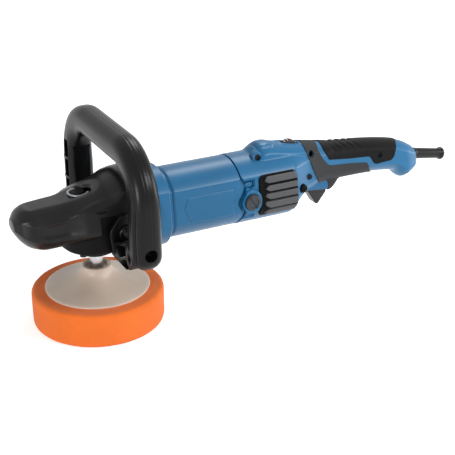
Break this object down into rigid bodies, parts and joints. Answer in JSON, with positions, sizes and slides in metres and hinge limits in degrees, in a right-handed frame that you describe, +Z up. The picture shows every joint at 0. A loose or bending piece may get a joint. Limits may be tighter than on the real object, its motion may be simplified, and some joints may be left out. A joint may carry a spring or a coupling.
{
  "type": "rotary polisher",
  "caption": "Corded rotary polisher: foam pad on a geared spindle under a moulded hood and loop handle, with an in-line motor body, trigger grip, speed dial and cord guard.",
  "frame": {"origin": "centre of the foam pad's working face, on the spindle axis", "axes": "+X along the body towards the rear grip, +Z up along the spindle away from the pad, +Y to the side of the body without the lock-on button"},
  "size_m": [0.5721, 0.2286, 0.2343],
  "materials": {
    "pad_foam": "open-cell foam",
    "plate_plastic": "satin",
    "black_rubber": "satin",
    "black_plastic": "satin",
    "blue_plastic": "satin",
    "grey_rubber": "matt",
    "grey_plastic": "matt",
    "arrow_silver": "satin",
    "dial_plastic": "satin",
    "case_paint": "powder coated",
    "steel": "ground",
    "dark_steel": "blackened",
    "lamination_steel": "stacked sheets",
    "bronze_insert": "turned",
    "copper": "varnished wire",
    "carbon": "matt",
    "board_plastic": "potted"
  },
  "bodies": {
    "housing": {"gear_case": "case_paint", "gear_case_cover": "case_paint", "cover_screws": "dark_steel", "housing_screws": "steel", "dust_seal": "black_rubber", "spindle_lock_spring": "steel", "bearing_outer_rings": "steel", "bearing_balls": "steel", "gear_hood": "black_rubber", "direction_arrow": "arrow_silver", "loop_handle": "black_plastic", "loop_handle_screws": "steel", "motor_housing": "blue_plastic", "fan_baffle": "black_plastic", "stator_core": "lamination_steel", "field_coils": "copper", "brush_holders": "bronze_insert", "carbon_brushes": "carbon", "brush_springs": "steel", "brush_caps": "grey_plastic", "handle_shell_left": "blue_plastic", "handle_shell_right": "blue_plastic", "grip_overmould_left": "grey_rubber", "grip_overmould_right": "grey_rubber", "vent_grille_left": "grey_plastic", "vent_grille_right": "grey_plastic", "shell_screws": "dark_steel", "trigger_pin": "steel", "trigger_spring": "steel", "dial_bracket": "black_plastic", "switch_module": "black_plastic", "speed_control_module": "board_plastic", "cord_guard": "black_rubber"},
    "spindle_set": {"foam_pad": "pad_foam", "backing_plate": "plate_plastic", "pad_insert": "bronze_insert", "spindle": "steel", "spindle_gear": "steel", "spindle_bearing_inners": "steel"},
    "countershaft_set": {"countershaft": "steel", "spur_pinion": "steel", "bevel_gear": "steel", "countershaft_bearing_inners": "steel"},
    "armature_set": {"armature_shaft": "steel", "bevel_pinion": "steel", "pinion_nut": "steel", "armature_core": "lamination_steel", "armature_windings": "copper", "commutator": "copper", "cooling_fan": "black_plastic", "armature_bearing_inners": "steel"},
    "lock_pin": {"spindle_lock_button": "black_plastic"},
    "trigger": {"trigger": "grey_plastic"},
    "lock_on": {"lock_on_button": "black_plastic"},
    "dial": {"speed_dial": "dial_plastic"}
  },
  "joints": [
    {"name": "spindle_spin", "type": "hinge", "parent": "housing", "child": "spindle_set", "pos_m": [0, 0, 0.1], "axis": [0, 0, 1], "continuous": true},
    {"name": "countershaft_spin", "type": "hinge", "parent": "housing", "child": "countershaft_set", "pos_m": [0.03062, 0, 0.1], "axis": [0, 0, 1], "continuous": true},
    {"name": "armature_spin", "type": "hinge", "parent": "housing", "child": "armature_set", "pos_m": [0.1, 0, 0.126], "axis": [1, 0, 0], "continuous": true},
    {"name": "spindle_lock_press", "type": "slide", "parent": "housing", "child": "lock_pin", "axis": [0, 0, -1], "range_m": [0, 0.005], "stiffness_N_per_m": 900, "springref_m": -0.003, "deforming": ["spindle_lock_spring"]},
    {"name": "trigger_pull", "type": "hinge", "parent": "housing", "child": "trigger", "pos_m": [0.2682, 0, 0.113], "axis": [0, -1, 0], "range_deg": [0, 8], "stiffness_Nm_per_rad": 1.2, "springref_deg": -6.88, "deforming": ["trigger_spring"]},
    {"name": "lock_on_press", "type": "slide", "parent": "housing", "child": "lock_on", "axis": [0, 1, 0], "range_m": [0, 0.003], "stiffness_N_per_m": 900, "springref_m": -0.002},
    {"name": "speed_dial_turn", "type": "hinge", "parent": "housing", "child": "dial", "pos_m": [0.2472, 0, 0.163], "axis": [0, 1, 0], "range_deg": [0, 270]}
  ],
  "couplings": [
    {"joint": "countershaft_spin", "follows": "spindle_spin", "ratio": -3.0833},
    {"joint": "armature_spin", "follows": "spindle_spin", "ratio": -9.25}
  ]
}
